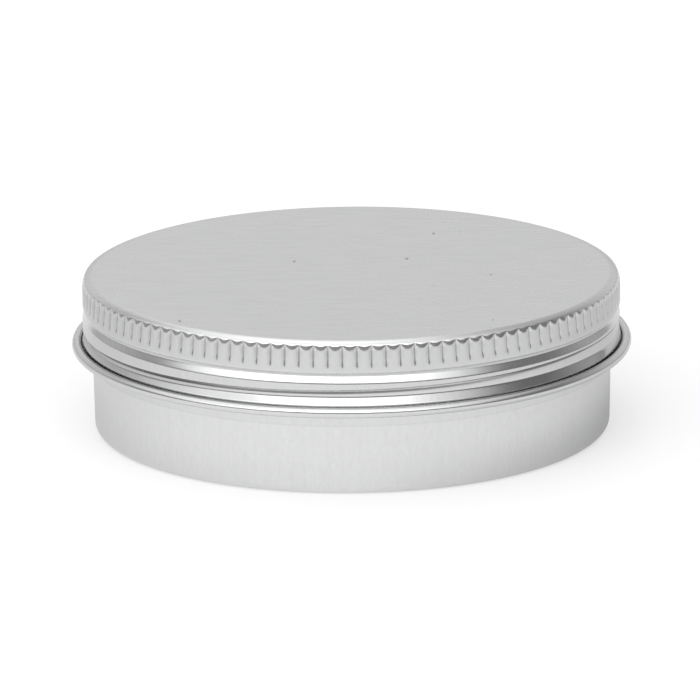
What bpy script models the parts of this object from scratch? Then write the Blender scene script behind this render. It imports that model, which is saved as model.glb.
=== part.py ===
"""Round aluminium screw-top candle tin, low form: drawn tin, drawn screw lid and foam liner.

Metres, +Z up. Origin at the centre of the base's standing ring. The tin's front faces -Y,
and azimuths are counted from there, counter-clockwise seen from above.
The lid is modelled closed: its thread lies just under the tin's thread.
"""

import math

import bmesh
import bpy
from mathutils import Matrix

MM = 0.001

# ---- driving dimensions (mm) ----
HEIGHT = 23.3               # base to lid top
SHEET = 0.35                # aluminium sheet, both pieces

# tin
WALL_R_BOTTOM = 38.22       # outer radius above the bottom corner
WALL_R_TOP = 38.47          # outer radius under the ring bead
WALL_TOP = 12.2
BASE_CORNER = 1.3           # outer radius of the bottom corner
BASE_PANEL_R = 30.0         # raised middle of the base
BASE_PANEL_RISE = 0.5
BEAD_R = 40.74              # centre circle of the ring bead
BEAD_TUBE = 0.76            # half thickness of the bead
BEAD_Z = 13.03
NECK_R = 38.35              # outer radius of the neck between threads
MOUTH_TOP = 21.3
RIM_TUBE = 0.42             # rolled mouth edge

# thread, one start, right-handed, rolled into both sheets
PITCH = 3.9
TIN_THREAD_CREST = 39.20
TIN_THREAD_Z = 16.80        # height of its middle at the front
TIN_THREAD_FROM = -150.0    # azimuths, degrees
TIN_THREAD_TO = 60.0
LID_THREAD_ROOT = 39.20     # outer radius in the lid's rolled groove
LID_THREAD_Z = 15.97        # height of the groove's upper edge at the front
LID_THREAD_FROM = -126.0
LID_THREAD_TO = 72.0

# lid
LID_R = 39.85               # outer radius on the knurls
LID_CORNER = 1.4            # rounding between top and side
KNURLS = 118
KNURL_DEPTH = 0.33
KNURL_TOP = 22.75           # the valleys fade out here, on the corner
KNURL_FOOT = 19.25          # and here, above the neck groove
KNURL_PHASE = 1.1           # azimuth of a valley, degrees
NECK_GROOVE_R = 39.45
NECK_GROOVE_Z = 18.3
SKIRT_R = 39.85
HEM_R = 39.9
HEM_BOTTOM = 13.6

# liner
LINER_R = 38.7
LINER_BOTTOM = 21.6
LINER_TOP = 22.65

KNURL_STEPS = 2 * KNURLS
SKIRT_STEPS = KNURLS
LID_INSIDE_STEPS = KNURLS // 2
TIN_STEPS = 64
LINER_STEPS = 72


def smooth(x):
    x = min(max(x, 0.0), 1.0)
    return x * x * (3.0 - 2.0 * x)


def azimuth_of(x, y):
    """Degrees from the front (-Y) towards +X, from -180 to 180."""
    return math.degrees(math.atan2(x, -y))


def helix_rise(azimuth, start, end):
    """Rise of a thread line at this azimuth. Outside the thread it runs back smoothly to its start."""
    if start <= azimuth <= end:
        return PITCH * azimuth / 360.0
    gap = 360.0 - (end - start)
    past = (azimuth - end) % 360.0
    return PITCH * (end + (start - end) * smooth(past / gap)) / 360.0


def thread_strength(azimuth, start, end, run_in, run_out):
    """1 along the thread, falling to 0 at its two ends."""
    if not start <= azimuth <= end:
        return 0.0
    return smooth((azimuth - start) / run_in) * smooth((end - azimuth) / run_out)


def arc(centre_r, centre_z, radius, from_deg, to_deg, steps):
    """Points of a circular arc in the profile plane, both ends included."""
    points = []
    for i in range(steps + 1):
        a = math.radians(from_deg + (to_deg - from_deg) * i / steps)
        points.append((centre_r + radius * math.cos(a), centre_z + radius * math.sin(a)))
    return points


def turned(name, profile, steps, phase=0.0):
    """Mesh of a profile (radius, height in mm) turned once round Z by a Screw modifier."""
    mesh = bpy.data.meshes.new(name)
    bm = bmesh.new()
    row = [bm.verts.new((r * MM, 0.0, z * MM)) for r, z in profile]
    for a, b in zip(row, row[1:]):
        bm.edges.new((a, b))
    bm.to_mesh(mesh)
    bm.free()
    obj = bpy.data.objects.new(name, mesh)
    bpy.context.scene.collection.objects.link(obj)
    screw = obj.modifiers.new("Turn", "SCREW")
    screw.axis = "Z"
    screw.steps = steps
    screw.render_steps = steps
    screw.use_merge_vertices = True
    screw.merge_threshold = 1e-6
    graph = bpy.context.evaluated_depsgraph_get()
    made = bpy.data.meshes.new_from_object(obj.evaluated_get(graph))
    bpy.data.objects.remove(obj)
    bpy.data.meshes.remove(mesh)
    made.transform(Matrix.Rotation(math.radians(phase), 4, "Z"))
    return made


def reshape(mesh, rule):
    """Moves each vertex by rule(azimuth, radius, height) -> (radius, height), in mm."""
    for vertex in mesh.vertices:
        x, y, z = vertex.co
        radius = math.hypot(x, y)
        if radius < 1e-6:
            continue
        new_r, new_z = rule(azimuth_of(x, y), radius / MM, z / MM)
        scale = new_r * MM / radius
        vertex.co = (x * scale, y * scale, new_z * MM)


def boundary_loops(bm):
    """The open edge loops of a bmesh, as lists of edges."""
    left = {edge for edge in bm.edges if edge.is_boundary}
    loops = []
    while left:
        loop = [left.pop()]
        ends = list(loop[0].verts)
        while ends:
            vertex = ends.pop()
            for edge in vertex.link_edges:
                if edge in left:
                    left.remove(edge)
                    loop.append(edge)
                    ends.append(edge.other_vert(vertex))
        loops.append(loop)
    return loops


def loop_height(loop):
    return sum(edge.verts[0].co.z for edge in loop) / len(loop) / MM


def loop_radius(loop):
    return sum(math.hypot(edge.verts[0].co.x, edge.verts[0].co.y) for edge in loop) / len(loop) / MM


def material(name, colour, roughness, metallic):
    made = bpy.data.materials.new(name)
    made.use_nodes = True
    shader = made.node_tree.nodes["Principled BSDF"]
    shader.inputs["Base Color"].default_value = (*colour, 1.0)
    shader.inputs["Roughness"].default_value = roughness
    shader.inputs["Metallic"].default_value = metallic
    return made


def finish(name, mesh, collection, look):
    """Puts a finished mesh in the scene as one named piece."""
    mesh.name = name
    mesh.materials.clear()
    mesh.materials.append(look)
    mesh.shade_smooth()
    mesh.set_sharp_from_angle(angle=math.radians(40))
    obj = bpy.data.objects.new(name, mesh)
    collection.objects.link(obj)
    return obj


# ---------------------------------------------------------------- the lid

LID_ROW_SHEAR_TOP = 17.25       # the skirt's rows follow the thread between these heights
LID_ROW_SHEAR_FOOT = 13.95


def lid_thread_z(azimuth):
    return LID_THREAD_Z + helix_rise(azimuth, LID_THREAD_FROM, LID_THREAD_TO)


def lid_thread(azimuth):
    return thread_strength(azimuth, LID_THREAD_FROM, LID_THREAD_TO, 14.0, 22.0)


def lid_row_height(azimuth, z):
    """Shears the skirt's rows so that they run along the thread."""
    line = lid_thread_z(azimuth)
    if z >= LID_ROW_SHEAR_TOP or z <= LID_ROW_SHEAR_FOOT:
        return z
    if z > LID_THREAD_Z:
        share = (z - LID_THREAD_Z) / (LID_ROW_SHEAR_TOP - LID_THREAD_Z)
        return line + share * (LID_ROW_SHEAR_TOP - line)
    share = (LID_THREAD_Z - z) / (LID_THREAD_Z - LID_ROW_SHEAR_FOOT)
    return line - share * (line - LID_ROW_SHEAR_FOOT)


def plain_skirt_radius(z):
    """Outer radius of the skirt where it has no thread: a shallow waist, then out to the hem."""
    if z > 17.25:
        return NECK_GROOVE_R + (39.80 - NECK_GROOVE_R) * smooth((NECK_GROOVE_Z - z) / 1.05)
    if z > 16.2:
        return 39.80 - 0.08 * smooth((17.25 - z) / 1.05)
    return 39.72 + (HEM_R - 39.72) * smooth((16.2 - z) / 2.2)


def threaded_skirt_radius(z, line):
    """Outer radius of the skirt along the thread, whose groove starts at height line."""
    if z > 17.25:
        return NECK_GROOVE_R + (SKIRT_R - NECK_GROOVE_R) * smooth((NECK_GROOVE_Z - z) / 1.05)
    if z > line:
        return SKIRT_R
    drop = LID_THREAD_ROOT + (SKIRT_R - LID_THREAD_ROOT) * (1.0 - smooth((line - z) / 0.35))
    flare_from = min(15.1, line - 0.55)
    flare_to = 13.85
    out = HEM_R - (HEM_R - LID_THREAD_ROOT) * (1.0 - smooth((flare_from - z) / (flare_from - flare_to)))
    return max(drop, out)


def skirt_radius(azimuth, z):
    strength = lid_thread(azimuth)
    line = lid_thread_z(azimuth)
    return strength * threaded_skirt_radius(z, line) + (1.0 - strength) * plain_skirt_radius(z)


def knurl_rule(azimuth, radius, z):
    """Presses the knurl valleys into the lid's band."""
    turn = (azimuth - KNURL_PHASE) * KNURLS / 360.0
    from_valley = abs(turn - round(turn)) * 2.0
    across = (1.0 - from_valley) ** 1.5
    along = smooth((KNURL_TOP - z) / 0.55) * smooth((z - KNURL_FOOT) / 0.45)
    return radius - KNURL_DEPTH * across * along, z


def skirt_outer_rule(azimuth, radius, z):
    new_z = lid_row_height(azimuth, z)
    if z > NECK_GROOVE_Z or z < LID_ROW_SHEAR_FOOT:
        return radius, new_z
    return skirt_radius(azimuth, new_z), new_z


def lid_inner_rule(azimuth, radius, z):
    if z > NECK_GROOVE_Z + 0.1 or z < LID_ROW_SHEAR_FOOT:
        return radius, z
    new_z = lid_row_height(azimuth, z)
    return skirt_radius(azimuth, new_z) - SHEET, new_z


def make_lid(collection, look):
    corner_r = LID_R - LID_CORNER
    corner_z = HEIGHT - LID_CORNER
    corner = arc(corner_r, corner_z, LID_CORNER, 90.0, 0.0, 5)
    band_profile = [(0.0, HEIGHT), *corner, (LID_R, 19.75), (LID_R, KNURL_FOOT), (39.72, 18.78)]
    band = turned("lid_band", band_profile, KNURL_STEPS, KNURL_PHASE)
    reshape(band, knurl_rule)

    skirt_profile = [
        (NECK_GROOVE_R + 0.05, 18.55),
        (NECK_GROOVE_R, NECK_GROOVE_Z),
        (39.7, 17.8),
        (39.8, 17.25),
        (SKIRT_R, 16.55),
        (SKIRT_R, LID_THREAD_Z),
        (39.4, 15.66),
        (39.3, 15.2),
        (39.5, 14.55),
        (39.8, 14.0),
        (HEM_R, 13.8),
        (39.82, HEM_BOTTOM),
    ]
    skirt = turned("lid_skirt", skirt_profile, SKIRT_STEPS, KNURL_PHASE)
    reshape(skirt, skirt_outer_rule)

    inner_r = LID_R - KNURL_DEPTH - SHEET
    inner_corner = arc(inner_r - 0.9, HEIGHT - SHEET - 0.9, 0.9, 0.0, 90.0, 3)
    inside_profile = [
        (39.5, HEM_BOTTOM),
        (39.48, 13.85),
        (39.3, 14.5),
        (39.0, 15.2),
        (39.0, 15.66),
        (39.4, LID_THREAD_Z),
        (39.45, 16.6),
        (39.4, 17.3),
        (NECK_GROOVE_R - SHEET, NECK_GROOVE_Z),
        (inner_r, 18.9),
        *inner_corner,
        (0.0, HEIGHT - SHEET),
    ]
    inside = turned("lid_inside", inside_profile, LID_INSIDE_STEPS, KNURL_PHASE)
    reshape(inside, lid_inner_rule)

    bm = bmesh.new()
    for part in (band, skirt, inside):
        bm.from_mesh(part)
        bpy.data.meshes.remove(part)
    # The three stretches are joined at the neck groove and at the hem.
    loops = boundary_loops(bm)
    neck = [loop for loop in loops if loop_height(loop) > 16.0]
    hem = [loop for loop in loops if loop_height(loop) <= 16.0]
    for pair in (neck, hem):
        bmesh.ops.bridge_loops(bm, edges=[edge for loop in pair for edge in loop])
    bmesh.ops.triangulate(bm, faces=[face for face in bm.faces if len(face.verts) > 4])
    bmesh.ops.recalc_face_normals(bm, faces=bm.faces)
    mesh = bpy.data.meshes.new("screw_lid")
    bm.to_mesh(mesh)
    bm.free()
    return finish("screw_lid", mesh, collection, look)


# ---------------------------------------------------------------- the tin

NECK_ROWS_FOOT = 14.1
NECK_ROWS_TOP = 20.3
TIN_THREAD_HALF = 0.28          # half width of the flat on the crest
TIN_THREAD_FLANK = 0.80         # half width at the root


def tin_thread_z(azimuth):
    return TIN_THREAD_Z + helix_rise(azimuth, TIN_THREAD_FROM, TIN_THREAD_TO)


def tin_row_height(azimuth, z):
    """Shears the neck's rows so that they run along the thread."""
    line = tin_thread_z(azimuth)
    low, high = TIN_THREAD_Z - TIN_THREAD_FLANK, TIN_THREAD_Z + TIN_THREAD_FLANK
    if z >= NECK_ROWS_TOP or z <= NECK_ROWS_FOOT:
        return z
    if z > high:
        share = (z - high) / (NECK_ROWS_TOP - high)
        return line + TIN_THREAD_FLANK + share * (NECK_ROWS_TOP - line - TIN_THREAD_FLANK)
    if z < low:
        share = (z - NECK_ROWS_FOOT) / (low - NECK_ROWS_FOOT)
        return NECK_ROWS_FOOT + share * (line - TIN_THREAD_FLANK - NECK_ROWS_FOOT)
    return z + line - TIN_THREAD_Z


def tin_thread_lift(azimuth, z):
    """How far the thread stands out of the neck here."""
    strength = thread_strength(azimuth, TIN_THREAD_FROM, TIN_THREAD_TO, 20.0, 20.0)
    away = abs(z - tin_thread_z(azimuth))
    return (TIN_THREAD_CREST - NECK_R) * strength * (
        1.0 - smooth((away - TIN_THREAD_HALF) / (TIN_THREAD_FLANK - TIN_THREAD_HALF))
    )


def tin_rule(azimuth, radius, z):
    on_neck = abs(radius - NECK_R) < 0.01 or abs(radius - (NECK_R - SHEET)) < 0.01
    if not on_neck or not NECK_ROWS_FOOT <= z <= NECK_ROWS_TOP:
        return radius, z
    new_z = tin_row_height(azimuth, z)
    return radius + tin_thread_lift(azimuth, new_z), new_z


def make_tin(collection, look):
    inner_neck = NECK_R - SHEET
    corner_r = WALL_R_BOTTOM - BASE_CORNER
    thread_rows = [
        TIN_THREAD_Z - TIN_THREAD_FLANK,
        TIN_THREAD_Z - TIN_THREAD_HALF,
        TIN_THREAD_Z + TIN_THREAD_HALF,
        TIN_THREAD_Z + TIN_THREAD_FLANK,
    ]
    rim_r = NECK_R - RIM_TUBE
    rim_z = MOUTH_TOP - RIM_TUBE
    profile = [
        # inside, from the middle of the floor up
        (0.0, BASE_PANEL_RISE + SHEET),
        (BASE_PANEL_R - 0.1, BASE_PANEL_RISE + SHEET),
        (BASE_PANEL_R + 1.0, SHEET),
        *arc(corner_r, BASE_CORNER, BASE_CORNER - SHEET, -90.0, 0.0, 3),
        (WALL_R_TOP - SHEET, WALL_TOP),
        (WALL_R_TOP - SHEET - 0.02, BEAD_Z - 0.1),
        (inner_neck, 13.9),
        *((inner_neck, z) for z in thread_rows),
        (inner_neck, NECK_ROWS_TOP),
        # rolled rim, over the top
        *arc(rim_r, rim_z, RIM_TUBE, 215.0, 0.0, 6),
        # outside, down the neck
        (NECK_R, NECK_ROWS_TOP),
        *((NECK_R, z) for z in reversed(thread_rows)),
        (NECK_R, 13.85),
        (NECK_R + 0.25, 13.42),
        (BEAD_R - 1.15, 13.30),
        # round the ring bead
        *arc(BEAD_R, BEAD_Z, BEAD_TUBE, 152.0, -152.0, 8),
        (BEAD_R - 1.2, 12.72),
        (WALL_R_TOP + 0.25, 12.58),
        # down the wall and across the base
        (WALL_R_TOP, WALL_TOP),
        *arc(corner_r, BASE_CORNER, BASE_CORNER, 0.0, -90.0, 4),
        (BASE_PANEL_R + 0.9, 0.0),
        (BASE_PANEL_R, BASE_PANEL_RISE),
        (0.0, BASE_PANEL_RISE),
    ]
    mesh = turned("tin_body", profile, TIN_STEPS)
    reshape(mesh, tin_rule)
    return finish("tin_body", mesh, collection, look)


# ---------------------------------------------------------------- the liner

def make_liner(collection, look):
    middle = 0.5 * (LINER_BOTTOM + LINER_TOP) * MM
    bpy.ops.mesh.primitive_cylinder_add(
        vertices=LINER_STEPS,
        radius=LINER_R * MM,
        depth=(LINER_TOP - LINER_BOTTOM) * MM,
        end_fill_type="NGON",
        location=(0.0, 0.0, middle),
    )
    obj = bpy.context.active_object
    obj.name = obj.data.name = "liner"
    for holder in list(obj.users_collection):
        holder.objects.unlink(obj)
    collection.objects.link(obj)
    bevel = obj.modifiers.new("Soft edge", "BEVEL")
    bevel.width = 0.15 * MM
    bevel.segments = 1
    bevel.limit_method = "ANGLE"
    bevel.angle_limit = math.radians(40)
    obj.data.materials.append(look)
    obj.data.shade_smooth()
    obj.data.set_sharp_from_angle(angle=math.radians(40))
    return obj


def main():
    for obj in list(bpy.data.objects):
        bpy.data.objects.remove(obj)
    collection = bpy.data.collections.new("candle_tin")
    bpy.context.scene.collection.children.link(collection)

    tin_look = material("tin aluminium", (0.80, 0.80, 0.80), 0.32, 1.0)
    lid_look = material("lid aluminium", (0.82, 0.82, 0.82), 0.28, 1.0)
    liner_look = material("liner foam", (0.90, 0.90, 0.89), 0.85, 0.0)

    tin = make_tin(collection, tin_look)
    liner = make_liner(collection, liner_look)
    lid = make_lid(collection, lid_look)

    # The lid turns on, and lifts along, the tin's axis.
    axis = bpy.data.objects.new("lid_axis", None)
    axis.empty_display_size = 0.02
    collection.objects.link(axis)
    axis.parent = tin
    for piece in (liner, lid):
        piece.parent = axis


main()
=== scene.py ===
import math

import bpy
import numpy as np
from mathutils import Matrix, Vector


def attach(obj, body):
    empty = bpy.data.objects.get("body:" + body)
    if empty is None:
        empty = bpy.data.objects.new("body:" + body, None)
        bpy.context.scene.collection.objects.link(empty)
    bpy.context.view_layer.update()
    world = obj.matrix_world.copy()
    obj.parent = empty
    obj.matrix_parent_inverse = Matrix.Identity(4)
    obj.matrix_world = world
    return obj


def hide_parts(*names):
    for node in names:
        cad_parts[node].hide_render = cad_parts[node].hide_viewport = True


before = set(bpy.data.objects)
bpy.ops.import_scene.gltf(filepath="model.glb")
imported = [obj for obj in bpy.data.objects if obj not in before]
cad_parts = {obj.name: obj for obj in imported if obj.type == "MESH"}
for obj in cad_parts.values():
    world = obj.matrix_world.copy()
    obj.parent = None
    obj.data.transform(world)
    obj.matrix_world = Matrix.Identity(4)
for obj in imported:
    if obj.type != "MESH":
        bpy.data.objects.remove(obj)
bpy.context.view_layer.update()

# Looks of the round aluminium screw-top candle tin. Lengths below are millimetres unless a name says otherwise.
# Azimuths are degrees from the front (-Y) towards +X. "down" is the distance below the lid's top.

MM = 0.001

HEIGHT = 23.3
SHEET = 0.35
PITCH = 3.9

# ------------------------------------------------------------------ camera

TARGET = Vector((0.0, 0.0, 12.14 * MM))
DISTANCE = 1.459
ELEVATION = math.radians(15.37)
ROLL = math.radians(0.546)
AIM_RIGHT, AIM_UP = -0.261 * MM, -0.821 * MM


def make_camera():
    back = Vector((0.0, -math.cos(ELEVATION), math.sin(ELEVATION)))
    right = Vector((1.0, 0.0, 0.0))
    up = Vector((0.0, math.sin(ELEVATION), math.cos(ELEVATION)))
    place = TARGET + back * DISTANCE
    aim = TARGET + right * AIM_RIGHT + up * AIM_UP
    look = (aim - place).normalized()
    side = look.cross(up).normalized()
    top = side.cross(look).normalized()
    side, top = side * math.cos(ROLL) - top * math.sin(ROLL), top * math.cos(ROLL) + side * math.sin(ROLL)
    data = bpy.data.cameras.new("camera")
    data.sensor_width = 36.0
    data.lens = 505.4
    data.clip_start, data.clip_end = 0.05, 20.0
    camera = bpy.data.objects.new("camera", data)
    bpy.context.scene.collection.objects.link(camera)
    camera.matrix_world = Matrix((
        (side.x, top.x, -look.x, place.x),
        (side.y, top.y, -look.y, place.y),
        (side.z, top.z, -look.z, place.z),
        (0.0, 0.0, 0.0, 1.0),
    ))
    bpy.context.scene.camera = camera


# ------------------------------------------------------------------ shape helpers


def smooth(x):
    x = np.clip(x, 0.0, 1.0)
    return x * x * (3.0 - 2.0 * x)


def helix_rise(azimuth, start, end):
    """Rise of a thread line. Outside the thread it runs back smoothly to its start."""
    gap = 360.0 - (end - start)
    past = np.mod(azimuth - end, 360.0)
    back = end + (start - end) * smooth(past / gap)
    return PITCH * np.where((azimuth >= start) & (azimuth <= end), azimuth, back) / 360.0


def thread_strength(azimuth, start, end, run_in, run_out):
    inside = (azimuth >= start) & (azimuth <= end)
    return np.where(inside, smooth((azimuth - start) / run_in) * smooth((end - azimuth) / run_out), 0.0)


def rounded(points, radii, steps, spacing):
    """A profile with its corners rounded, for all azimuths at once.

    points: list of (r, z), each a number or an array over azimuth. radii: the rounding at each inner point.
    steps: samples on each rounding. spacing: samples on each straight, a list.
    Returns r and z arrays of shape (samples, azimuths).
    """
    count = max(np.size(p[0]) for p in points)
    count = max(count, max(np.size(p[1]) for p in points))
    pts = np.zeros((len(points), 2, count))
    for i, (r, z) in enumerate(points):
        pts[i, 0], pts[i, 1] = r, z
    out = []
    last = pts[0]
    for i in range(1, len(points)):
        corner = pts[i]
        if i < len(points) - 1:
            before, after = pts[i - 1] - corner, pts[i + 1] - corner
            len_b, len_a = np.hypot(*before), np.hypot(*after)
            ub, ua = before / len_b, after / len_a
            cosine = np.clip((ub * ua).sum(0), -0.9999, 0.9999)
            half = 0.5 * np.arccos(cosine)
            shorter = np.minimum(len_b, len_a)
            cut = np.minimum(radii[i] / np.tan(half), 0.48 * shorter)
            # where the corner is almost straight, a gentle curve of a fair length takes the arc's place
            least = np.minimum(0.25 * radii[i], 0.30 * shorter)
            gentle = cut < least
            cut = np.maximum(cut, least)
            start, end = corner + ub * cut, corner + ua * cut
        else:
            start, end = corner, corner
        n = spacing[i - 1]
        first = 0 if i == 1 else 1
        for k in range(first, n + 1):
            out.append(last + (start - last) * (k / n))
        if i < len(points) - 1:
            # a circular arc through start and end, tangent to both sides
            radius = cut * np.tan(half)
            mid = ub + ua
            mid = mid / np.maximum(np.hypot(*mid), 1e-9)
            centre = corner + mid * (radius / np.sin(half))
            a = start - centre
            b = end - centre
            ang = np.arctan2(a[0] * b[1] - a[1] * b[0], (a * b).sum(0))
            for k in range(1, steps[i] + 1):
                t = ang * k / steps[i]
                c, s = np.cos(t), np.sin(t)
                share = k / steps[i]
                curve = start * (1.0 - share) ** 2 + corner * 2.0 * share * (1.0 - share) + end * share**2
                out.append(np.where(gentle, curve, centre + np.stack((a[0] * c - a[1] * s, a[0] * s + a[1] * c))))
        last = end
    grid = np.array(out)
    return grid[:, 0, :], grid[:, 1, :]


def join_rings(upper, lower):
    """Faces between two rings of points, facing out. One ring may have a whole number of times the other's points."""
    few, many = min(len(upper), len(lower)), max(len(upper), len(lower))
    if few == many:
        i = np.arange(few)
        k = (i + 1) % few
        return np.stack((upper[i], lower[i], lower[k], upper[k]), axis=-1).tolist()
    ratio = many // few
    half = (ratio + 1) // 2
    faces = []
    for j in range(few):
        after = (j + 1) % few
        for k in range(ratio):
            one, two = ratio * j + k, (ratio * j + k + 1) % many
            near = j if k < half else after
            if len(upper) == few:
                faces.append((upper[near], lower[one], lower[two]))
            else:
                faces.append((upper[one], lower[near], upper[two]))
        middle = (ratio * j + half) % many
        if len(upper) == few:
            faces.append((upper[j], lower[middle], upper[after]))
        else:
            faces.append((lower[j], lower[after], upper[middle]))
    return faces


def revolve(name, stretches):
    """A closed mesh from rings of points, top centre to bottom centre, with a pole at both ends.

    stretches: a list of (azimuths, radii, heights), the last two with one row for each ring.
    """
    points, rings, count = [], [], 0
    for azimuth, radius, height in stretches:
        a = np.radians(azimuth)
        for r, z in zip(radius, height):
            points.append(np.stack((r * np.sin(a), -r * np.cos(a), z + 0.0 * a), axis=-1))
            rings.append(np.arange(len(a)) + count)
            count += len(a)
    faces = []
    for upper, lower in zip(rings, rings[1:]):
        faces += join_rings(upper, lower)
    poles = np.array([(0.0, 0.0, points[0][:, 2].mean()), (0.0, 0.0, points[-1][:, 2].mean())])
    first, last = rings[0], rings[-1]
    faces += [(count, first[i], first[(i + 1) % len(first)]) for i in range(len(first))]
    faces += [(count + 1, last[(i + 1) % len(last)], last[i]) for i in range(len(last))]
    verts = np.vstack((*points, poles)) * MM
    mesh = bpy.data.meshes.new(name)
    mesh.from_pydata(verts.tolist(), [], [[int(v) for v in face] for face in faces])
    mesh.validate()
    mesh.shade_smooth()
    obj = bpy.data.objects.new(name, mesh)
    bpy.context.scene.collection.objects.link(obj)
    return obj


# ------------------------------------------------------------------ the lid

KNURLS = 118
KNURL_PHASE = 1.1
KNURL_COLUMNS = (0.0, 0.025, 0.065, 0.16, 0.32, 0.50, 0.68, 0.84, 0.935, 0.975)     # from one valley to the next
LID_R = 39.85
LID_EDGE = ((0.0, 90.0), (0.30, 77.0), (0.95, 70.0), (1.18, 60.0))     # along the rounded edge, up to where the knurls begin: tilt up
LID_FROM, LID_TO = -126.0, 80.0


def knurl_shape(azimuth):
    """Where an azimuth lies between two valleys: (0 in a valley to 1 on a rib's crown, groove depth, crease depth)."""
    turn = (azimuth - KNURL_PHASE) * KNURLS / 360.0
    from_valley = np.abs(turn - np.round(turn)) * 2.0
    wave = (0.5 - 0.5 * np.cos(np.pi * from_valley)) ** 1.25
    crease = 0.13 * np.clip(1.0 - from_valley / 0.13, 0.0, 1.0)
    groove = 0.12 * (1.0 - from_valley) ** 2
    return wave, groove, crease


def edge_profile(wave):
    """The rounded edge from the flat top down to the ribs, at one place between valley and crown: (reach outwards, depth).

    The edge keeps its upward tilt longer on a crown than in a valley, so the ribs stand out under it in arches.
    """
    along = np.linspace(0.0, LID_EDGE[-1][0], 96)
    tilt = np.radians(np.interp(along, [k[0] for k in LID_EDGE], [k[1] for k in LID_EDGE]))
    step = along[1]
    middle = 0.5 * (tilt[1:] + tilt[:-1])
    out = np.concatenate(([0.0], np.cumsum(np.sin(middle)) * step))
    down = np.concatenate(([0.0], np.cumsum(np.cos(middle)) * step))
    first = down[-1]
    knots = [first, 0.44 + 0.13 * wave, 0.50 + 0.18 * wave, 0.66 + 0.58 * wave, 0.80 + 0.64 * wave, 1.05 + 0.72 * wave]
    below = np.linspace(first, 1.90, 320)
    tilt = np.radians(np.interp(below, knots, [LID_EDGE[-1][1], 27.0, 16.0, 11.0, 2.5, 0.0]))
    more = np.cumsum(np.tan(0.5 * (tilt[1:] + tilt[:-1]))) * (below[1] - below[0])
    return np.concatenate((out, out[-1] + more)), np.concatenate((down, below[1:]))


def wrap(azimuth):
    return np.mod(azimuth + 180.0, 360.0) - 180.0


def make_lid():
    pitch = 360.0 / KNURLS
    fine = KNURL_PHASE + pitch * (np.arange(KNURLS)[:, None] + np.array(KNURL_COLUMNS)[None, :]).reshape(-1)
    az = fine[::5]
    steps = len(az)
    fine, az = wrap(fine), wrap(az)

    # The band: a rounded edge that runs into the ribs and valleys, the knurled side, and a rounded foot.
    wave, groove, crease = knurl_shape(fine)
    edges = {float(w): edge_profile(w) for w in np.unique(np.round(wave, 6))}
    crown_reach = edge_profile(1.0)[0][-1]
    edge_down = edge_profile(1.0)[1]
    foot_at, foot_round = 4.20, 0.75
    downs = np.concatenate((
        edge_down[[0, 12, 24, 36, 48, 60, 72, 84, 95]],
        np.linspace(0.335, 0.74, 13), np.linspace(0.79, 1.70, 16), np.linspace(1.85, 4.70, 20),
    ))
    assert (np.diff(downs) > 0).all()
    band = []
    for down in downs:
        reach = np.array([np.interp(down, edges[float(w)][1], edges[float(w)][0]) for w in np.round(wave, 6)])
        past = max(down - foot_at, 0.0)
        foot = foot_round - math.sqrt(foot_round**2 - past**2)
        waved = LID_R - crown_reach + reach
        runs_out = 1.0 - smooth((down - 2.7) / 1.3)
        grooved = LID_R - groove * runs_out
        # the wave under the edge turns slowly into ribs with a narrow groove between them
        share = smooth((down - 0.65) / 2.3) * (1.0 if down > edge_down[95] else 0.0)
        line = crease * smooth((down - 0.50) / 0.25) * runs_out
        band.append((waved + (grooved - waved) * share - line - foot, down + 0.0 * waved))
    r_band = np.array([r for r, _ in band])
    z_band = HEIGHT - np.array([d for _, d in band])

    strength = thread_strength(az, LID_FROM, LID_TO, 16.0, 20.0)
    line = 16.24 + helix_rise(az, LID_FROM, LID_TO)          # height of the groove's upper lip
    line_down = HEIGHT - line

    def mix(threaded, plain):
        return strength * threaded + (1.0 - strength) * plain

    lip = np.clip(line_down, 6.45, 8.5)
    hem_z = 9.46
    flare_top = np.minimum(np.maximum(8.30, lip + 1.15), hem_z - 0.40)
    root = np.minimum(lip + 0.30, flare_top - 0.45)
    above = root + 0.5 * (flare_top - root)
    crest_z = 6.14

    outer = [
        (39.66, 4.70),
        (39.38, 5.07),
        (mix(39.87, 39.82), crest_z),
        (mix(39.88, 39.72), lip),
        (mix(39.18, 39.69), root),
        (mix(39.28, 39.68), above),
        (mix(39.29, 39.69), flare_top),
        (39.90, hem_z),
        (39.84, 9.74),
        (39.50, 9.74),
    ]
    outer = [(r, HEIGHT - z) for r, z in outer]
    radii = [0, 0.15, 0.75, 0.10, 0.08, 0.60, 0.80, 0.20, 0.10, 0]
    arc_steps = [0, 6, 9, 4, 4, 3, 8, 5, 3, 0]
    spans = [2, 3, 3, 2, 2, 2, 4, 2, 2]
    r_out, z_out = rounded(outer, radii, arc_steps, spans)

    inner_r = 39.12
    inner = [
        (39.50, 9.74),
        (39.48, 9.40),
        (mix(38.90, 39.33), flare_top + 0.1),
        (mix(38.86, 39.31), root + 0.05),
        (mix(39.50, 39.35), lip - 0.10),
        (mix(39.50, 39.46), crest_z + 0.05),
        (39.03, 4.98),
        (inner_r, 4.35),
        (inner_r, SHEET),
        (38.0, SHEET),
    ]
    inner = [(r, HEIGHT - z) for r, z in inner]
    r_in, z_in = rounded(
        inner,
        [0, 0.1, 0.25, 0.1, 0.1, 0.3, 0.1, 0.2, 1.0, 0],
        [0, 2, 3, 3, 3, 3, 3, 3, 6, 0],
        [1, 2, 2, 2, 2, 2, 1, 3, 1],
    )
    top = np.array((10.0, 20.0, 30.0, 36.0, 38.0))[:, None] + 0.0 * az[None, :]
    r = np.vstack((r_out[1:], r_in[1:], np.full((1, steps), 24.0)))
    z = np.vstack((z_out[1:], z_in[1:], np.full((1, steps), HEIGHT - SHEET)))
    return revolve("lid_shell", [(az, top, HEIGHT + 0.0 * top), (fine, r_band, z_band), (az, r, z)])


# ------------------------------------------------------------------ the tin

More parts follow.
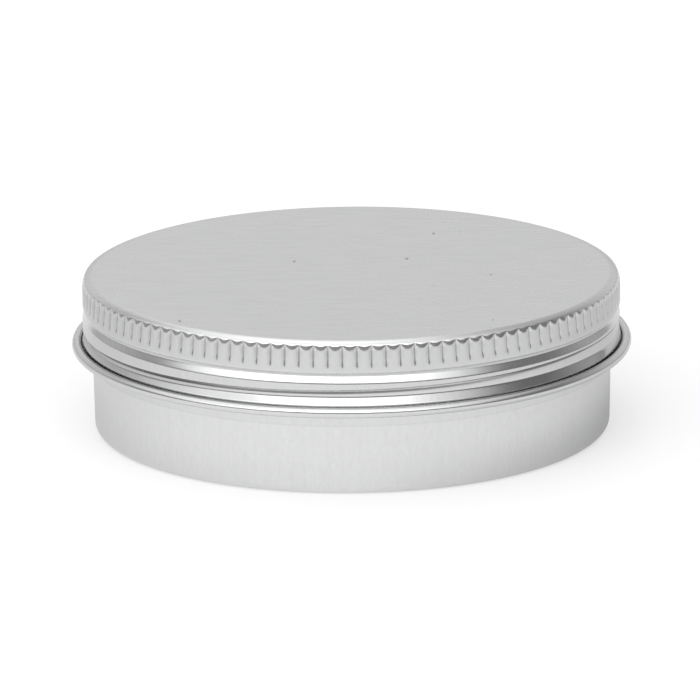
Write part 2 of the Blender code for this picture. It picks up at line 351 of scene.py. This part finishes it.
TIN_FROM, TIN_TO = -150.0, 60.0


def make_tin():
    steps = 472
    az = -180.0 + 360.0 * np.arange(steps) / steps
    strength = thread_strength(az, TIN_FROM, TIN_TO, 20.0, 20.0)
    mid = 16.80 + helix_rise(az, TIN_FROM, TIN_TO)
    neck, crest = 38.35, 39.20
    lift = (crest - neck) * strength

    def bump(base, up):
        """The thread's profile from above to below, or from below to above."""
        rows = [(base, mid + 0.80), (base + lift, mid + 0.26), (base + lift, mid - 0.26), (base, mid - 0.80)]
        return rows[::-1] if up else rows

    rim_r, rim_z, tube = neck - 0.42, 21.3 - 0.42, 0.42
    inside = [
        (29.0, 0.85), (29.9, 0.85), (30.95, 0.35), (37.85, 0.35), (38.10, 12.2), (38.06, 13.1), (38.0, 13.9),
        *bump(38.0, True), (38.0, 20.2), (37.62, 20.62),
    ]
    r1, z1 = rounded(
        inside,
        [0, 0.6, 0.6, 0.95, 1.0, 0.3, 0.3, 0.3, 0.25, 0.25, 0.3, 0.3, 0],
        [0, 4, 4, 8, 2, 2, 2, 4, 4, 4, 4, 3, 0],
        [2, 2, 3, 6, 1, 1, 2, 2, 1, 2, 4, 2],
    )
    turn = np.radians(np.linspace(205.0, 0.0, 18))[:, None]
    r2 = rim_r + tube * np.cos(turn) + 0.0 * az[None, :]
    z2 = rim_z + tube * np.sin(turn) + 0.0 * az[None, :]
    outside = [
        (neck, 20.88), (neck, 20.3), *bump(neck, False), (neck, 13.34), (39.70, 13.32), (40.02, 13.32),
    ]
    r3, z3 = rounded(
        outside,
        [0, 0.3, 0.3, 0.25, 0.25, 0.3, 0.35, 0.3, 0],
        [0, 2, 4, 4, 4, 4, 5, 2, 0],
        [1, 4, 2, 1, 2, 3, 3, 1],
    )
    bead_r, bead_z, bead = 40.74, 13.03, 0.755
    ball = np.radians(np.linspace(150.0, -150.0, 33))[:, None]
    r4 = bead_r + bead * np.cos(ball) + 0.0 * az[None, :]
    z4 = bead_z + bead * np.sin(ball) + 0.0 * az[None, :]
    lower = [
        (40.08, 12.64), (39.6, 12.68), (38.48, 12.66), (38.21, 0.0), (30.95, 0.0), (29.9, 0.5), (29.0, 0.5),
    ]
    r5, z5 = rounded(
        lower,
        [0, 0.3, 0.42, 1.30, 0.7, 0.7, 0],
        [0, 2, 7, 16, 5, 5, 0],
        [1, 2, 10, 4, 2, 2],
    )
    r5, z5 = r5 + 0.0 * az[None, :], z5 + 0.0 * az[None, :]
    r = np.vstack((np.full((1, steps), 14.0), r1, r2[1:], r3[1:], r4, r5[1:], np.full((1, steps), 14.0)))
    z = np.vstack((np.full((1, steps), 0.85), z1, z2[1:], z3[1:], z4, z5[1:], np.full((1, steps), 0.5)))
    return revolve("tin_shell", [(az, r, z)])


# ------------------------------------------------------------------ the liner


def make_liner():
    steps = 236
    az = -180.0 + 360.0 * np.arange(steps) / steps
    profile = [(30.0, 22.65), (38.7, 22.65), (38.7, 21.6), (30.0, 21.6)]
    r, z = rounded(profile, [0, 0.22, 0.22, 0], [0, 5, 5, 0], [3, 3, 3])
    r = r + 0.0 * az[None, :]
    z = z + 0.0 * az[None, :]
    # The mouth rim leaves a faint ring pressed into the foam.
    press = np.exp(-((r - 37.93) / 0.45) ** 2) * (z < 22.0)
    z = z + 0.07 * press
    r = np.vstack((np.full((1, steps), 10.0), np.full((1, steps), 20.0), r, np.full((1, steps), 20.0), np.full((1, steps), 10.0)))
    z = np.vstack((np.full((2, steps), 22.65), z, np.full((2, steps), 21.6)))
    return revolve("liner_disc", [(az, r, z)])


# ------------------------------------------------------------------ materials


class Nodes:
    """A short way to add and link shader nodes."""

    def __init__(self, tree):
        self.tree = tree

    def add(self, kind, **settings):
        node = self.tree.nodes.new(kind)
        for key, value in settings.items():
            setattr(node, key, value)
        return node

    def put(self, socket, value):
        if isinstance(value, bpy.types.NodeSocket):
            self.tree.links.new(value, socket)
        else:
            socket.default_value = value

    def math(self, operation, *values, clamp=False):
        node = self.add("ShaderNodeMath", operation=operation, use_clamp=clamp)
        for socket, value in zip(node.inputs, values):
            self.put(socket, value)
        return node.outputs[0]

    def mapped(self, vector, scale):
        node = self.add("ShaderNodeMapping")
        self.put(node.inputs["Vector"], vector)
        node.inputs["Scale"].default_value = scale
        return node.outputs[0]

    def noise(self, vector, scale, detail=2.0, rough=0.5):
        node = self.add("ShaderNodeTexNoise")
        self.put(node.inputs["Vector"], vector)
        node.inputs["Scale"].default_value = scale
        node.inputs["Detail"].default_value = detail
        node.inputs["Roughness"].default_value = rough
        return node.outputs["Fac"]

    def span(self, value, low, high, to_low, to_high, smoothstep=False):
        node = self.add("ShaderNodeMapRange", clamp=True)
        if smoothstep:
            node.interpolation_type = "SMOOTHSTEP"
        self.put(node.inputs["Value"], value)
        node.inputs["From Min"].default_value = low
        node.inputs["From Max"].default_value = high
        node.inputs["To Min"].default_value = to_low
        node.inputs["To Max"].default_value = to_high
        return node.outputs["Result"]


def metal(name, colour, knurled=False):
    """Bare aluminium. Faces that look up or down show rolling grain along X; upright walls are drawn, with streaks along Z."""
    made = bpy.data.materials.new(name)
    made.use_nodes = True
    tree = made.node_tree
    tree.nodes.clear()
    n = Nodes(tree)
    out = n.add("ShaderNodeOutputMaterial")
    shader = n.add("ShaderNodeBsdfPrincipled")
    tree.links.new(shader.outputs[0], out.inputs["Surface"])
    place = n.add("ShaderNodeTexCoord").outputs["Object"]
    face = n.add("ShaderNodeNewGeometry")
    split = n.add("ShaderNodeSeparateXYZ")
    n.put(split.inputs[0], face.outputs["True Normal"])
    upward = n.math("ABSOLUTE", split.outputs["Z"])
    flat = n.span(upward, 0.80, 0.98, 0.0, 1.0, True)

    # fine grain, in metres: along X on flat faces, along Z on walls
    flat_grain = n.noise(n.mapped(place, (0.40, 1.0, 1.0)), 2300.0, 2.0, 0.55)
    flat_long = n.noise(n.mapped(place, (0.10, 0.55, 1.0)), 1900.0, 2.0, 0.55)
    wall_grain = n.noise(n.mapped(place, (1.0, 1.0, 0.45)), 2300.0, 2.0, 0.55)
    wall_long = n.noise(n.mapped(place, (1.0, 1.0, 0.03)), 1100.0, 2.0, 0.5)
    broad = n.noise(n.mapped(place, (1.0, 1.0, 0.35)), 60.0, 2.0, 0.5)

    def blend(flat_value, wall_value):
        mix = n.add("ShaderNodeMix", data_type="FLOAT")
        n.put(mix.inputs[0], flat)
        n.put(mix.inputs[2], wall_value)
        n.put(mix.inputs[3], flat_value)
        return mix.outputs[0]

    grain = blend(flat_grain, wall_grain)
    streak = blend(flat_long, wall_long)

    # colour: the grain's light and dark, and a few small dark specks
    shade = n.math("MULTIPLY_ADD", grain, blend(0.03, 0.12), blend(0.985, 0.94))
    shade = n.math("MULTIPLY", shade, n.math("MULTIPLY_ADD", streak, blend(0.13, 0.05), blend(0.935, 0.975)))
    specks = n.add("ShaderNodeTexVoronoi", feature="F1", voronoi_dimensions="2D")
    n.put(specks.inputs["Vector"], n.mapped(place, (1.0, 0.45, 0.0)))
    specks.inputs["Scale"].default_value = 240.0
    specks.inputs["Randomness"].default_value = 1.0
    pick = n.add("ShaderNodeSeparateColor")
    n.put(pick.inputs[0], specks.outputs["Color"])
    size = n.span(pick.outputs[0], 0.91, 1.0, 0.020, 0.075)
    spot = n.math("MULTIPLY", n.span(n.math("SUBTRACT", size, specks.outputs["Distance"]), 0.0, 0.020, 0.0, 1.0), flat)
    shade = n.math("MULTIPLY", shade, n.math("MULTIPLY_ADD", spot, -0.45, 1.0))

    rough = n.math("MULTIPLY_ADD", grain, blend(0.02, 0.06), blend(0.18, 0.16))
    rough = n.math("ADD", rough, n.math("MULTIPLY", flat, 0.08))
    rough = n.math("ADD", rough, n.math("MULTIPLY", n.math("SUBTRACT", broad, 0.5), 0.03))
    if knurled:
        # the knurled band is a little darker in colour and rougher
        spot = n.add("ShaderNodeSeparateXYZ")
        n.put(spot.inputs[0], place)
        level = spot.outputs["Z"]
        dull = n.math("MULTIPLY", n.span(level, 0.0186, 0.0191, 0.0, 1.0, True), n.span(level, 0.0219, 0.0223, 1.0, 0.0, True))
        shade = n.math("MULTIPLY", shade, n.math("MULTIPLY_ADD", dull, -0.09, 1.0))
        rough = n.math("MULTIPLY_ADD", dull, 0.06, rough)
        # painted shade along the knurl valleys: a thin dark line in each valley and a wider darker strip beside it on
        # one side
        around = n.math("ARCTAN2", spot.outputs["X"], n.math("MULTIPLY", spot.outputs["Y"], -1.0))
        turn = n.math("FRACT", n.math("MULTIPLY_ADD", around, KNURLS / (2.0 * math.pi), 0.03 + KNURLS - KNURL_PHASE * KNURLS / 360.0))
        away = n.math("MULTIPLY_ADD", n.math("ABSOLUTE", n.math("SUBTRACT", turn, 0.5)), -2.0, 1.0)
        valley_line_shade = n.span(away, 0.0, 0.16, 0.22, 0.0, True)
        turn = n.math("FRACT", n.math("ADD", turn, 0.08))
        away = n.math("MULTIPLY_ADD", n.math("ABSOLUTE", n.math("SUBTRACT", turn, 0.5)), -2.0, 1.0)
        valley_side_shade = n.span(away, 0.0, 0.50, 0.10, 0.0, True)
        # painted shade: the thread's crest and groove below the knurled band a little darker
        land_shade = n.math("MULTIPLY", n.span(level, 0.0152, 0.0154, 0.0, 0.075, True), n.span(level, 0.0170, 0.0173, 1.0, 0.0, True))
        shade = n.math("MULTIPLY", shade, n.math("SUBTRACT", 1.0, land_shade))
        # painted shade: the flare above the hem markedly darker
        flare_shade = n.math("MULTIPLY", n.span(level, 0.01385, 0.0140, 0.0, 0.21, True), n.span(level, 0.0149, 0.0153, 1.0, 0.0, True))
        shade = n.math("MULTIPLY", shade, n.math("SUBTRACT", 1.0, flare_shade))
        # the valleys' painted shade, laid over the knurled rows only
        rows = n.math("MULTIPLY", n.span(level, 0.0193, 0.0200, 0.0, 1.0, True), n.span(level, 0.02276, 0.02292, 1.0, 0.0, True))
        shade = n.math("MULTIPLY", shade, n.math("SUBTRACT", 1.0, n.math("MULTIPLY", rows, n.math("ADD", valley_side_shade, valley_line_shade))))

        # painted shade: a dark line along the groove's root, where shadow falls under the thread's lip, none at the
        # front and deepest towards the groove's two ends
        rise = n.math("MULTIPLY_ADD", around, PITCH * MM / (2.0 * math.pi), 0.01586)
        root = n.span(n.math("ABSOLUTE", n.math("SUBTRACT", rise, level)), 0.00010, 0.00038, 1.0, 0.0, True)
        line_shade_depth = n.span(n.math("ABSOLUTE", around), 0.35, 0.75, 0.0, 0.70, True)
        held = n.math("MULTIPLY", n.span(around, -2.2, -1.9, 0.0, 1.0, True), n.span(around, 1.15, 1.40, 1.0, 0.0, True))
        shade = n.math("MULTIPLY", shade, n.math("SUBTRACT", 1.0, n.math("MULTIPLY", root, n.math("MULTIPLY", line_shade_depth, held))))

    else:
        # painted shade: the top of the wall under the bead a little darker, down to a faint darker line
        spot = n.add("ShaderNodeSeparateXYZ")
        n.put(spot.inputs[0], place)
        level = spot.outputs["Z"]
        under_bead_shade = n.span(level, 0.01030, 0.01045, 0.0, 0.040, True)
        under_bead_line = n.math("MULTIPLY", n.span(level, 0.01024, 0.01037, 0.0, 0.05, True), n.span(level, 0.01037, 0.01062, 1.0, 0.0, True))
        shade = n.math("MULTIPLY", shade, n.math("SUBTRACT", 1.0, n.math("ADD", under_bead_shade, under_bead_line)))

    paint = n.add("ShaderNodeMix", data_type="RGBA")
    paint.blend_type = "MULTIPLY"
    paint.inputs[0].default_value = 1.0
    paint.inputs[6].default_value = (*colour, 1.0)
    grey = n.add("ShaderNodeCombineColor")
    for socket in grey.inputs[:3]:
        n.put(socket, shade)
    n.put(paint.inputs[7], grey.outputs[0])
    n.put(shader.inputs["Base Color"], paint.outputs[2])
    n.put(shader.inputs["Roughness"], rough)
    shader.inputs["Metallic"].default_value = 1.0

    # the highlight spreads across the brushing
    across = n.add("ShaderNodeTangent", direction_type="RADIAL", axis="Z").outputs[0]
    sideways = n.add("ShaderNodeMix", data_type="VECTOR")
    n.put(sideways.inputs[0], flat)
    n.put(sideways.inputs[4], across)
    sideways.inputs[5].default_value = (0.0, 1.0, 0.0)
    n.put(shader.inputs["Tangent"], sideways.outputs[1])
    shader.inputs["Anisotropic"].default_value = 0.3

    height = n.math("ADD", n.math("MULTIPLY", grain, 0.6), n.math("MULTIPLY", streak, 0.4))
    bump = n.add("ShaderNodeBump")
    n.put(bump.inputs["Strength"], blend(0.0, 0.20))
    bump.inputs["Distance"].default_value = 0.000003
    n.put(bump.inputs["Height"], height)
    n.put(shader.inputs["Normal"], bump.outputs[0])
    return made


def foam(name):
    """White polyethylene foam: closed cells, softly matt."""
    made = bpy.data.materials.new(name)
    made.use_nodes = True
    tree = made.node_tree
    tree.nodes.clear()
    n = Nodes(tree)
    out = n.add("ShaderNodeOutputMaterial")
    shader = n.add("ShaderNodeBsdfPrincipled")
    tree.links.new(shader.outputs[0], out.inputs["Surface"])
    place = n.add("ShaderNodeTexCoord").outputs["Object"]
    cells = n.add("ShaderNodeTexVoronoi", feature="SMOOTH_F1")
    n.put(cells.inputs["Vector"], place)
    cells.inputs["Scale"].default_value = 2200.0
    mottle = n.noise(place, 300.0, 3.0, 0.6)
    tone = n.add("ShaderNodeMix", data_type="RGBA")
    n.put(tone.inputs[0], n.span(mottle, 0.3, 0.7, 0.0, 1.0))
    tone.inputs[6].default_value = (0.83, 0.83, 0.815, 1.0)
    tone.inputs[7].default_value = (0.90, 0.90, 0.89, 1.0)
    n.put(shader.inputs["Base Color"], tone.outputs[2])
    n.put(shader.inputs["Roughness"], n.span(mottle, 0.3, 0.7, 0.62, 0.78))
    shader.inputs["Specular IOR Level"].default_value = 0.35
    bump = n.add("ShaderNodeBump")
    bump.inputs["Strength"].default_value = 0.5
    bump.inputs["Distance"].default_value = 0.00006
    n.put(bump.inputs["Height"], cells.outputs["Distance"])
    n.put(shader.inputs["Normal"], bump.outputs[0])
    return made


# ------------------------------------------------------------------ studio


def make_floor():
    bpy.ops.mesh.primitive_plane_add(size=8.0, location=(0.0, 0.0, -0.00005))
    floor = bpy.context.active_object
    floor.name = "studio_floor"
    made = bpy.data.materials.new("studio floor")
    made.use_nodes = True
    tree = made.node_tree
    tree.nodes.clear()
    n = Nodes(tree)
    out = n.add("ShaderNodeOutputMaterial")
    # Painted shade on the floor that the metal shows in reflections: brightest in front and dimmer at the sides and the
    # back, by the direction from the tin. Seen directly it is plain.
    spot = n.add("ShaderNodeSeparateXYZ")
    n.put(spot.inputs[0], n.add("ShaderNodeTexCoord").outputs["Object"])
    around = n.math("ARCTAN2", spot.outputs["X"], n.math("MULTIPLY", spot.outputs["Y"], -1.0))
    ramp = n.add("ShaderNodeValToRGB")
    n.put(ramp.inputs[0], n.math("MULTIPLY_ADD", around, 0.5 / math.pi, 0.5))
    ramp.color_ramp.interpolation = "B_SPLINE"
    stops = [
        (0.0, 1.05), (0.083, 0.86), (0.167, 0.70), (0.25, 0.79), (0.333, 0.91), (0.417, 0.97), (0.5, 0.955),
        (0.583, 0.92), (0.667, 0.84), (0.75, 0.735), (0.833, 0.64), (0.917, 0.83), (1.0, 1.05),
    ]
    for place, level in stops:
        stop = ramp.color_ramp.elements[0] if place == 0.0 else (
            ramp.color_ramp.elements[-1] if place == 1.0 else ramp.color_ramp.elements.new(place))
        stop.color = (level, level, level, 1.0)
    mirrored = n.add("ShaderNodeLightPath").outputs["Is Glossy Ray"]
    reach = n.add("ShaderNodeVectorMath", operation="LENGTH")
    n.put(reach.inputs[0], n.add("ShaderNodeTexCoord").outputs["Object"])
    # painted contact shadow on the floor close to the tin, seen only in reflections, stronger on the +X side
    contact_shadow = n.span(reach.outputs["Value"], 0.038, 0.060, 1.0, 0.0, True)
    shadow_side = n.math("MAXIMUM", n.math("MULTIPLY", n.math("SINE", around), 0.30), n.math("MULTIPLY", n.math("SINE", around), -0.12))
    dimmed = n.math("MULTIPLY", ramp.outputs[0], n.math("SUBTRACT", 1.0, n.math("MULTIPLY", contact_shadow, shadow_side)))
    level = n.math("MULTIPLY_ADD", n.math("SUBTRACT", dimmed, 1.0), mirrored, 1.0)
    diffuse = n.add("ShaderNodeBsdfDiffuse")
    tint = n.add("ShaderNodeCombineColor")
    for socket in tint.inputs[:3]:
        n.put(socket, n.math("MULTIPLY", level, 0.50))
    n.put(diffuse.inputs["Color"], tint.outputs[0])
    glow = n.add("ShaderNodeEmission")
    glow.inputs["Color"].default_value = (1.0, 1.0, 1.0, 1.0)
    n.put(glow.inputs["Strength"], n.math("MULTIPLY", level, 0.53))
    both = n.add("ShaderNodeAddShader")
    tree.links.new(diffuse.outputs[0], both.inputs[0])
    tree.links.new(glow.outputs[0], both.inputs[1])
    tree.links.new(both.outputs[0], out.inputs["Surface"])
    floor.data.materials.append(made)


def make_studio():
    """A soft box overhead, a pale backdrop behind, and a dim room at the sides and in front."""
    world = bpy.data.worlds.new("studio")
    bpy.context.scene.world = world
    world.use_nodes = True
    tree = world.node_tree
    tree.nodes.clear()
    n = Nodes(tree)
    out = n.add("ShaderNodeOutputWorld")
    sky = n.add("ShaderNodeBackground")
    tree.links.new(sky.outputs[0], out.inputs["Surface"])
    direction = n.add("ShaderNodeTexCoord").outputs["Generated"]
    unit = n.add("ShaderNodeVectorMath", operation="NORMALIZE")
    n.put(unit.inputs[0], direction)
    split = n.add("ShaderNodeSeparateXYZ")
    n.put(split.inputs[0], unit.outputs[0])
    x, y, z = split.outputs

    # room: dim on the right, less so on the left and brighter high up there, and rising behind (+Y) to a pale backdrop
    left = n.span(x, -0.75, -0.15, 1.0, 0.0, True)
    room = n.math("MULTIPLY_ADD", left, 0.11, 0.20)
    room = n.math("ADD", room, n.span(y, -0.95, -0.70, 0.07, 0.0, True))
    high = n.math("MULTIPLY", n.span(z, 0.30, 0.42, 0.0, 0.20, True), n.span(z, 0.55, 0.75, 1.0, 0.0, True))
    room = n.math("ADD", room, n.math("MULTIPLY", high, n.span(x, -0.85, -0.45, 1.0, 0.0, True)))
    behind = n.math("POWER", n.span(y, 0.10, 0.964, 0.0, 1.0), 0.95)
    behind = n.math("MULTIPLY", behind, n.span(z, 0.0, 0.22, 0.35, 1.0, True))
    behind = n.math("MULTIPLY", behind, n.span(z, 0.36, 0.70, 1.0, 0.25, True))
    backdrop = n.add("ShaderNodeMix", data_type="FLOAT")
    n.put(backdrop.inputs[0], behind)
    n.put(backdrop.inputs[2], room)
    backdrop.inputs[3].default_value = 0.735
    base = backdrop.outputs[0]

    # soft box: a four-sided patch on an overhead plane at height 1, bright in the middle and falling off to both sides
    up = n.math("MAXIMUM", z, 0.02)
    px, py = n.math("DIVIDE", x, up), n.math("DIVIDE", y, up)
    right_edge = n.math("ADD", n.math("MULTIPLY", n.math("SUBTRACT", px, 0.34), 0.78), n.math("MULTIPLY", n.math("ADD", py, 0.015), 0.625))
    left_edge = n.math("ADD", n.math("MULTIPLY", n.math("ADD", px, 0.70), -0.648), n.math("MULTIPLY", n.math("SUBTRACT", py, 0.319), 0.762))

    def ends(value):
        value = n.math("MULTIPLY", value, n.span(py, 0.55, 1.60, 1.0, 0.0, True))
        value = n.math("MULTIPLY", value, n.span(py, -2.35, -1.95, 0.0, 1.0, True))
        return n.math("MULTIPLY", value, n.span(z, 0.03, 0.10, 0.0, 1.0))

    core = n.math("MULTIPLY", n.span(right_edge, -0.75, -0.20, 1.0, 0.0, True), n.span(left_edge, -1.10, -0.50, 1.0, 0.0, True))
    halo = n.math("MULTIPLY", n.span(right_edge, -0.35, 1.00, 1.0, 0.0, True), n.span(left_edge, -0.60, 1.30, 1.0, 0.0, True))
    box = n.math("ADD", n.math("MULTIPLY", core, 0.9), halo)
    # a narrower second box behind the first
    second = n.math("MULTIPLY", n.span(px, 0.06, 0.20, 0.80, 0.0, True), n.span(px, -0.42, -0.20, 0.0, 1.0, True))
    second = n.math("MULTIPLY", second, n.math("MULTIPLY", n.span(py, 1.15, 2.00, 1.0, 0.0, True), n.span(py, 0.30, 0.70, 0.0, 1.0, True)))
    light = n.math("ADD", base, n.math("ADD", ends(box), second))
    n.put(sky.inputs["Strength"], light)
    sky.inputs["Color"].default_value = (1.0, 1.0, 1.0, 1.0)


def main():
    scene = bpy.context.scene
    scene.view_settings.view_transform = "Standard"
    scene.view_settings.look = "None"
    scene.view_settings.exposure = 0.0
    scene.view_settings.gamma = 1.0
    make_camera()
    make_floor()
    make_studio()

    lid_metal = metal("lid aluminium", (0.745, 0.747, 0.750), knurled=True)
    tin_metal = metal("tin aluminium", (0.745, 0.747, 0.750))
    white_foam = foam("liner foam")

    for maker, look, node, body, slot in (
        (make_lid, lid_metal, "screw_lid", "lid", "lid_aluminium"),
        (make_tin, tin_metal, "tin_body", "tin", "tin_aluminium"),
        (make_liner, white_foam, "liner", "seal", "liner_foam"),
    ):
        piece = maker()
        piece.data.materials.append(look)
        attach(piece, body)
        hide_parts(node)


main()
